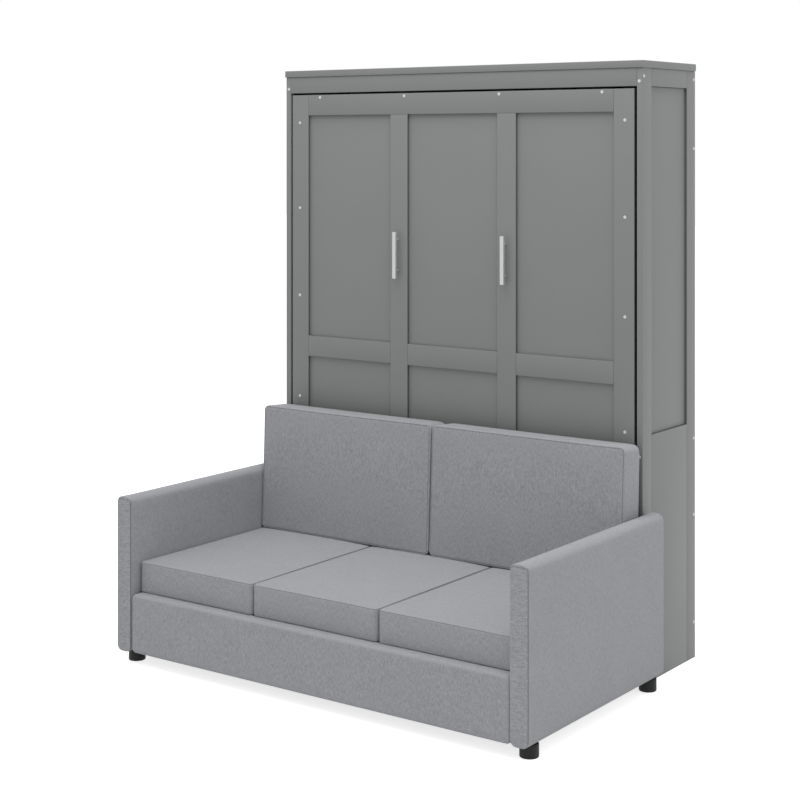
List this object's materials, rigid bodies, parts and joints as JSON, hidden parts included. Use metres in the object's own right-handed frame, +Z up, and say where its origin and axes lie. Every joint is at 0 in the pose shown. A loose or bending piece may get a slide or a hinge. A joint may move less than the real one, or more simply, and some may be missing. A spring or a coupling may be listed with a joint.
{
  "type": "wall bed",
  "caption": "Upright wall bed that folds down over a built-in sofa with padded arms, loose seat and back cushions, lift struts and an automatic foot leg.",
  "frame": {"origin": "on the floor, at the centre of the whole object's footprint", "axes": "+Z up, +X to the right of someone who faces the front, -Y out of the front"},
  "size_m": [1.769, 1.299, 2.2],
  "materials": {
    "painted_board": "satin grey paint on board, fine grain just showing",
    "upholstery": "light grey melange linen weave",
    "frame_steel": "black powder coat",
    "zinc_hardware": "bright zinc plating",
    "handle_metal": "brushed satin nickel",
    "slat_wood": "clear lacquered birch ply",
    "bare_board": "bare board",
    "foot_plastic": "black moulded plastic"
  },
  "bodies": {
    "cabinet": {"top_board": "painted_board", "header": "painted_board", "wall_rail": "painted_board", "back_panel": "painted_board", "kick_board": "painted_board", "front_post_left": "painted_board", "front_post_right": "painted_board", "rear_post_left": "painted_board", "rear_post_right": "painted_board", "side_top_rail_left": "painted_board", "side_top_rail_right": "painted_board", "side_upper_panel_left": "painted_board", "side_upper_panel_right": "painted_board", "side_lower_panel_left": "painted_board", "side_lower_panel_right": "painted_board", "pivot_bracket_left": "zinc_hardware", "pivot_bracket_right": "zinc_hardware", "strut_bracket_left": "zinc_hardware", "strut_bracket_right": "zinc_hardware", "arm_left": "upholstery", "arm_right": "upholstery", "sofa_front_rail": "upholstery", "sofa_rear_rail": "bare_board", "seat_deck": "bare_board", "seat_cushion_left": "upholstery", "seat_cushion_centre": "upholstery", "seat_cushion_right": "upholstery", "foot_front_left": "foot_plastic", "foot_front_right": "foot_plastic", "foot_rear_left": "foot_plastic", "foot_rear_right": "foot_plastic"},
    "bed": {"stile_left": "painted_board", "stile_right": "painted_board", "mid_stile_left": "painted_board", "mid_stile_right": "painted_board", "top_rail": "painted_board", "bottom_rail": "painted_board", "mid_rail_left": "painted_board", "mid_rail_centre": "painted_board", "mid_rail_right": "painted_board", "front_panel_left": "painted_board", "front_panel_centre": "painted_board", "front_panel_right": "painted_board", "handle_left": "handle_metal", "handle_right": "handle_metal", "side_rail_left": "frame_steel", "side_rail_right": "frame_steel", "head_rail": "frame_steel", "foot_rail": "frame_steel", "slat_bearer": "frame_steel", "front_stiffener": "frame_steel", "slat_roll": "slat_wood"},
    "foot_leg": {"folding_leg": "frame_steel"},
    "back_cushion_left": {"back_cushion_left": "upholstery"},
    "back_cushion_right": {"back_cushion_right": "upholstery"},
    "strut_cylinder_left": {"strut_cylinder_left": "frame_steel"},
    "strut_cylinder_right": {"strut_cylinder_right": "frame_steel"},
    "strut_rod_left": {"strut_rod_left": "zinc_hardware"},
    "strut_rod_right": {"strut_rod_right": "zinc_hardware"}
  },
  "joints": [
    {"name": "bed_fold", "type": "hinge", "parent": "cabinet", "child": "bed", "pos_m": [0, 0.2755, 0.537], "axis": [1, 0, 0], "range_deg": [0, 90], "stiffness_Nm_per_rad": 100, "springref_deg": -28.65},
    {"name": "leg_swing", "type": "hinge", "parent": "bed", "child": "foot_leg", "pos_m": [0, 0.2955, 2.085], "axis": [1, 0, 0], "range_deg": [0, 250]},
    {"name": "back_tip_left", "type": "hinge", "parent": "cabinet", "child": "back_cushion_left", "pos_m": [-0.4, 0.0815, 0.3762], "axis": [1, 0, 0], "range_deg": [0, 91.1]},
    {"name": "back_tip_right", "type": "hinge", "parent": "cabinet", "child": "back_cushion_right", "pos_m": [0.4, 0.0815, 0.3762], "axis": [1, 0, 0], "range_deg": [0, 91.1]},
    {"name": "strut_tilt_left", "type": "hinge", "parent": "cabinet", "child": "strut_cylinder_left", "pos_m": [-0.77825, 0.4505, 1.01], "axis": [1, 0, 0], "range_deg": [0, 15.82]},
    {"name": "strut_tilt_right", "type": "hinge", "parent": "cabinet", "child": "strut_cylinder_right", "pos_m": [0.77825, 0.4505, 1.01], "axis": [1, 0, 0], "range_deg": [0, 15.82]},
    {"name": "strut_slide_left", "type": "slide", "parent": "strut_cylinder_left", "child": "strut_rod_left", "axis": [0, 0.2017, 0.9795], "range_m": [0, 0.2551]},
    {"name": "strut_slide_right", "type": "slide", "parent": "strut_cylinder_right", "child": "strut_rod_right", "axis": [0, 0.2017, 0.9795], "range_m": [0, 0.2551]}
  ],
  "couplings": [
    {"joint": "leg_swing", "follows": "bed_fold", "ratio": 2.7777},
    {"joint": "back_tip_left", "follows": "bed_fold", "ratio": 1.0122},
    {"joint": "back_tip_right", "follows": "bed_fold", "ratio": 1.0122},
    {"joint": "strut_tilt_left", "follows": "bed_fold", "ratio": 0.17569},
    {"joint": "strut_tilt_right", "follows": "bed_fold", "ratio": 0.17569},
    {"joint": "strut_slide_left", "follows": "bed_fold", "m_per_rad": 0.1624},
    {"joint": "strut_slide_right", "follows": "bed_fold", "m_per_rad": 0.1624}
  ]
}
